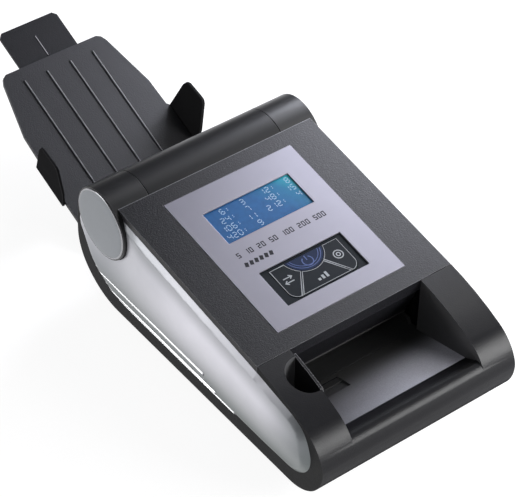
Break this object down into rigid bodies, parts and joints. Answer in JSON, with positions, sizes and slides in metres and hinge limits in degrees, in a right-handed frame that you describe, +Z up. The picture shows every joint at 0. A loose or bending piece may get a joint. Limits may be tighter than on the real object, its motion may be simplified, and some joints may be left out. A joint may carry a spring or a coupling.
{
  "type": "counterfeit note detector",
  "caption": "Wedge-shaped desktop note detector with a hinged display lid, keypad, note inlet, roller drive and a sliding catch tray.",
  "frame": {"origin": "on the surface it stands on, under the middle of the bounding box", "axes": "+X to the right seen from the front, +Y from the note inlet to the catch tray, +Z up"},
  "size_m": [0.136, 0.365, 0.0833],
  "materials": {
    "case_black": "satin moulded black",
    "under_black": "plain moulded",
    "lid_charcoal": "fine spark-textured",
    "silver_panel": "satin silver paint",
    "silver_cap": "satin silver paint",
    "bright_trim": "bright",
    "label_silver": "satin lavender grey",
    "display_blue": "blue backlit window",
    "display_dark": "plain",
    "key_slate": "matt membrane",
    "key_blue": "translucent blue",
    "inner_black": "smooth moulded",
    "rubber": "matt",
    "steel": "bright",
    "brass": "turned",
    "gear_nylon": "moulded nylon",
    "board_green": "lacquered",
    "sensor_dark": "dark window",
    "jack_black": "moulded",
    "tray_charcoal": "textured moulded",
    "fence_black": "smooth moulded"
  },
  "bodies": {
    "root": {"base_shell": "case_black", "base_plate": "under_black", "base_screws": "steel", "rubber_feet": "rubber", "side_panel_left": "silver_panel", "side_panel_right": "silver_panel", "trim_strips_left": "bright_trim", "trim_strips_right": "bright_trim", "barrel_end_left": "case_black", "barrel_end_right": "case_black", "end_cap_left": "silver_cap", "end_cap_right": "silver_cap", "hinge_pin_left": "steel", "hinge_pin_right": "steel", "note_bed": "inner_black", "channel_rail": "inner_black", "main_board": "board_green", "lower_sensor_bar": "sensor_dark", "dc_jack": "jack_black", "drive_motor": "steel", "motor_bracket": "steel", "shaft_bushes": "brass", "drive_belt": "rubber", "rear_guide": "inner_black", "latch_magnets": "steel", "tray_pins": "steel"},
    "width_guide": {"note_guide": "inner_black"},
    "lid": {"lid_cover": "lid_charcoal", "label_plate": "label_silver", "display_window": "display_blue", "display_module": "display_dark", "lid_board": "board_green", "keypad_frame": "key_slate", "lid_guide": "inner_black", "magnetic_heads": "steel", "upper_sensor_bar": "sensor_dark", "strike_plates": "steel", "lid_screws": "steel"},
    "left_key": {"key_left": "key_slate"},
    "middle_key": {"key_middle": "key_slate"},
    "right_key": {"key_right": "key_slate"},
    "power_key": {"key_power": "key_blue"},
    "front_feed": {"front_feed_shaft": "steel", "front_feed_rollers": "rubber"},
    "rear_feed": {"rear_feed_shaft": "steel", "rear_feed_rollers": "rubber", "rear_shaft_gear": "gear_nylon"},
    "idler": {"idler_gear": "gear_nylon"},
    "pinion": {"motor_pinion": "brass"},
    "front_pinch": {"front_pinch_axle": "steel", "front_pinch_rollers": "rubber"},
    "rear_pinch": {"rear_pinch_axle": "steel", "rear_pinch_rollers": "rubber"},
    "tray": {"tray_plate": "tray_charcoal", "tray_fence_left": "fence_black", "tray_fence_right": "fence_black"},
    "extension": {"tray_extension": "tray_charcoal"}
  },
  "joints": [
    {"name": "lid_hinge", "type": "hinge", "parent": "root", "child": "lid", "pos_m": [0, 0.00661, 0.0618], "axis": [-1, 0, 0], "range_deg": [0, 70]},
    {"name": "guide_slide", "type": "slide", "parent": "root", "child": "width_guide", "axis": [1, 0, 0], "range_m": [0, 0.021]},
    {"name": "left_key_press", "type": "slide", "parent": "lid", "child": "left_key", "axis": [0, 0.1495, -0.9888], "range_m": [0, 0.001], "stiffness_N_per_m": 400},
    {"name": "middle_key_press", "type": "slide", "parent": "lid", "child": "middle_key", "axis": [0, 0.1495, -0.9888], "range_m": [0, 0.001], "stiffness_N_per_m": 400},
    {"name": "right_key_press", "type": "slide", "parent": "lid", "child": "right_key", "axis": [0, 0.1495, -0.9888], "range_m": [0, 0.001], "stiffness_N_per_m": 400},
    {"name": "power_key_press", "type": "slide", "parent": "lid", "child": "power_key", "axis": [0, 0.1495, -0.9888], "range_m": [0, 0.001], "stiffness_N_per_m": 400},
    {"name": "rear_feed_spin", "type": "hinge", "parent": "root", "child": "rear_feed", "pos_m": [0, 0.00051, 0.0134], "axis": [1, 0, 0], "continuous": true},
    {"name": "front_feed_spin", "type": "hinge", "parent": "root", "child": "front_feed", "pos_m": [0, -0.08349, 0.0134], "axis": [1, 0, 0], "continuous": true},
    {"name": "idler_spin", "type": "hinge", "parent": "root", "child": "idler", "pos_m": [0, 0.00878, 0.02722], "axis": [1, 0, 0], "continuous": true},
    {"name": "pinion_spin", "type": "hinge", "parent": "root", "child": "pinion", "pos_m": [0, 0.02101, 0.034], "axis": [1, 0, 0], "continuous": true},
    {"name": "front_pinch_spin", "type": "hinge", "parent": "lid", "child": "front_pinch", "pos_m": [0, -0.08349, 0.0247], "axis": [1, 0, 0], "continuous": true},
    {"name": "rear_pinch_spin", "type": "hinge", "parent": "root", "child": "rear_pinch", "pos_m": [0, 0.00051, 0.0247], "axis": [1, 0, 0], "continuous": true},
    {"name": "tray_fold", "type": "hinge", "parent": "root", "child": "tray", "pos_m": [0, 0.03701, 0.01], "axis": [1, 0, 0], "range_deg": [0, 40]},
    {"name": "extension_slide", "type": "slide", "parent": "tray", "child": "extension", "axis": [0, 0.9245, 0.3811], "range_m": [-0.0235, 0.03]}
  ],
  "couplings": [
    {"joint": "front_feed_spin", "follows": "rear_feed_spin", "ratio": 1},
    {"joint": "idler_spin", "follows": "rear_feed_spin", "ratio": -0.64286},
    {"joint": "pinion_spin", "follows": "rear_feed_spin", "ratio": 1.5}
  ]
}
